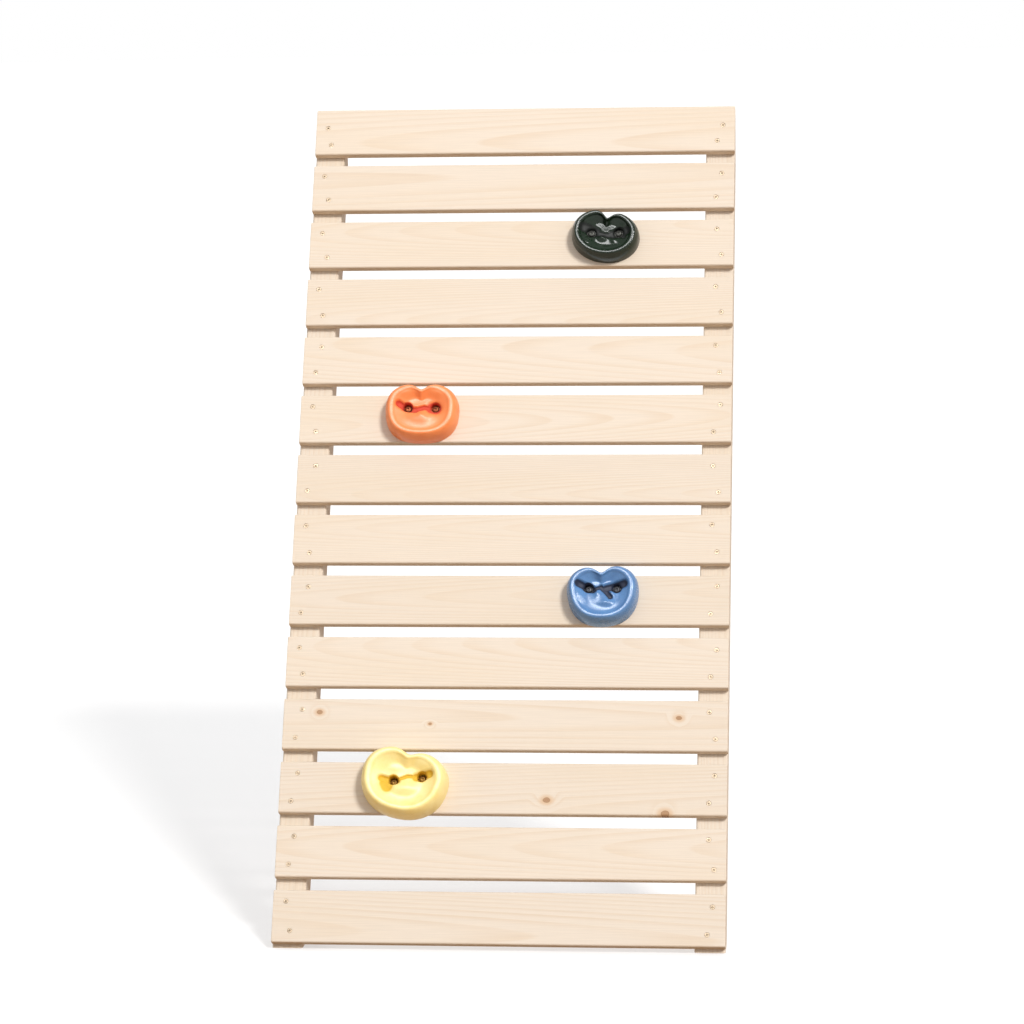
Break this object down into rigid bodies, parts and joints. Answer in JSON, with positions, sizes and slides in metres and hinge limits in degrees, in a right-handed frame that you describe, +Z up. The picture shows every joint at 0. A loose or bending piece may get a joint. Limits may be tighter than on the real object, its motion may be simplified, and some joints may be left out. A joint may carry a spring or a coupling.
{
  "type": "rock climbing wall",
  "caption": "Leaning wooden slat climbing wall for a playground tower, with coloured moulded holds bolted to its slats.",
  "frame": {"origin": "on the ground, in the middle of the wall's footprint", "axes": "+Z up; the climber stands on the -Y side, and the platform that the wall leans against is on the +Y side; +X is to the climber's right"},
  "size_m": [0.66, 0.649, 1.189],
  "materials": {
    "slat_wood": "planed pale softwood with a matte clear stain",
    "beam_wood": "planed pale softwood with a matte clear stain",
    "plastic_green": "moulded, dark green, semi-gloss",
    "plastic_orange": "moulded, orange, fine pebble texture",
    "plastic_blue": "moulded, blue, fine pebble texture",
    "plastic_yellow": "moulded, yellow, fine pebble texture",
    "zinc_steel": "bright zinc plate",
    "black_steel": "black zinc plate"
  },
  "bodies": {
    "root": {"slat_01": "slat_wood", "slat_02": "slat_wood", "slat_03": "slat_wood", "slat_04": "slat_wood", "slat_05": "slat_wood", "slat_06": "slat_wood", "slat_07": "slat_wood", "slat_08": "slat_wood", "slat_09": "slat_wood", "slat_10": "slat_wood", "slat_11": "slat_wood", "slat_12": "slat_wood", "slat_13": "slat_wood", "slat_14": "slat_wood", "stringer_left": "beam_wood", "stringer_right": "beam_wood", "hold_green": "plastic_green", "hold_orange": "plastic_orange", "hold_blue": "plastic_blue", "hold_yellow": "plastic_yellow", "hold_bolt_green_left": "black_steel", "hold_bolt_green_right": "black_steel", "hold_bolt_orange_left": "black_steel", "hold_bolt_orange_right": "black_steel", "hold_bolt_blue_left": "black_steel", "hold_bolt_blue_right": "black_steel", "hold_bolt_yellow_left": "black_steel", "hold_bolt_yellow_right": "black_steel", "hold_washer_green_left": "black_steel", "hold_washer_green_right": "black_steel", "hold_washer_orange_left": "black_steel", "hold_washer_orange_right": "black_steel", "hold_washer_blue_left": "black_steel", "hold_washer_blue_right": "black_steel", "hold_washer_yellow_left": "black_steel", "hold_washer_yellow_right": "black_steel", "hold_tee_nut_green_left": "zinc_steel", "hold_tee_nut_green_right": "zinc_steel", "hold_tee_nut_orange_left": "zinc_steel", "hold_tee_nut_orange_right": "zinc_steel", "hold_tee_nut_blue_left": "zinc_steel", "hold_tee_nut_blue_right": "zinc_steel", "hold_tee_nut_yellow_left": "zinc_steel", "hold_tee_nut_yellow_right": "zinc_steel"}
  },
  "joints": []
}
